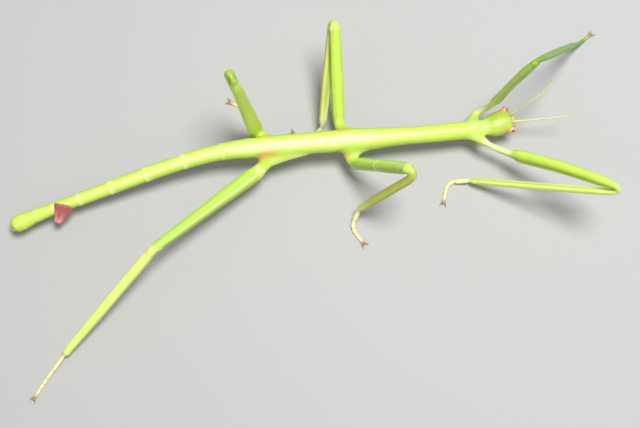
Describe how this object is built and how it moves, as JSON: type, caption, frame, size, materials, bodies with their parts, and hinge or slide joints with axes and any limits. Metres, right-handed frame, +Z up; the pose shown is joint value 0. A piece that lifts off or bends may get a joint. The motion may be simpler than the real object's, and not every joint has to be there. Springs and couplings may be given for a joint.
{
  "type": "giant stick insect",
  "caption": "Life-size green giant stick insect standing on its feet with raised knees, a long slender body bent to one side and short feelers, made as a still model.",
  "frame": {"origin": "centre of the whole model's bounding box on the floor, at the level of the feet", "axes": "+X forwards along the body towards the head, +Y to the insect's left, +Z up"},
  "size_m": [0.1815, 0.1007, 0.0479],
  "materials": {
    "body_cuticle": "smooth lime green insect cuticle with a soft wet sheen",
    "head_cuticle": "glossy yellow-green cuticle with olive and orange flanks",
    "leg_cuticle": "satin mid green cuticle with lengthwise keels",
    "foot_cuticle": "cream to brown jointed foot",
    "claw": "dark brown, hard and glossy",
    "eye": "tan compound eye with a dark spot",
    "feeler": "pale yellow-brown",
    "pink_lobe": "soft rose red, paler below"
  },
  "bodies": {
    "root": {"head": "head_cuticle", "mouthparts": "head_cuticle", "palp_left": "feeler", "palp_right": "feeler", "eye_left": "eye", "eye_right": "eye", "antenna_base_left": "feeler", "antenna_base_right": "feeler", "antenna_left": "feeler", "antenna_right": "feeler", "prothorax": "body_cuticle", "mesothorax": "body_cuticle", "metathorax": "body_cuticle", "abdomen_1": "body_cuticle", "abdomen_2": "body_cuticle", "abdomen_3": "body_cuticle", "abdomen_4": "body_cuticle", "abdomen_5": "body_cuticle", "abdomen_6": "body_cuticle", "abdomen_7": "body_cuticle", "abdomen_8": "body_cuticle", "abdomen_9": "body_cuticle", "abdomen_10": "body_cuticle", "subgenital_plate": "body_cuticle", "cercus_left": "body_cuticle", "cercus_right": "body_cuticle", "ventral_lobe": "pink_lobe", "coxa_fore_left": "leg_cuticle", "femur_fore_left": "leg_cuticle", "tibia_fore_left": "leg_cuticle", "tarsus_fore_left": "foot_cuticle", "claws_fore_left": "claw", "coxa_fore_right": "leg_cuticle", "femur_fore_right": "leg_cuticle", "tibia_fore_right": "leg_cuticle", "tarsus_fore_right": "foot_cuticle", "claws_fore_right": "claw", "coxa_mid_left": "leg_cuticle", "femur_mid_left": "leg_cuticle", "tibia_mid_left": "leg_cuticle", "tarsus_mid_left": "foot_cuticle", "claws_mid_left": "claw", "coxa_mid_right": "leg_cuticle", "femur_mid_right": "leg_cuticle", "tibia_mid_right": "leg_cuticle", "tarsus_mid_right": "foot_cuticle", "claws_mid_right": "claw", "coxa_hind_left": "leg_cuticle", "femur_hind_left": "leg_cuticle", "tibia_hind_left": "leg_cuticle", "tarsus_hind_left": "foot_cuticle", "claws_hind_left": "claw", "coxa_hind_right": "leg_cuticle", "femur_hind_right": "leg_cuticle", "tibia_hind_right": "leg_cuticle", "tarsus_hind_right": "foot_cuticle", "claws_hind_right": "claw"}
  },
  "joints": []
}
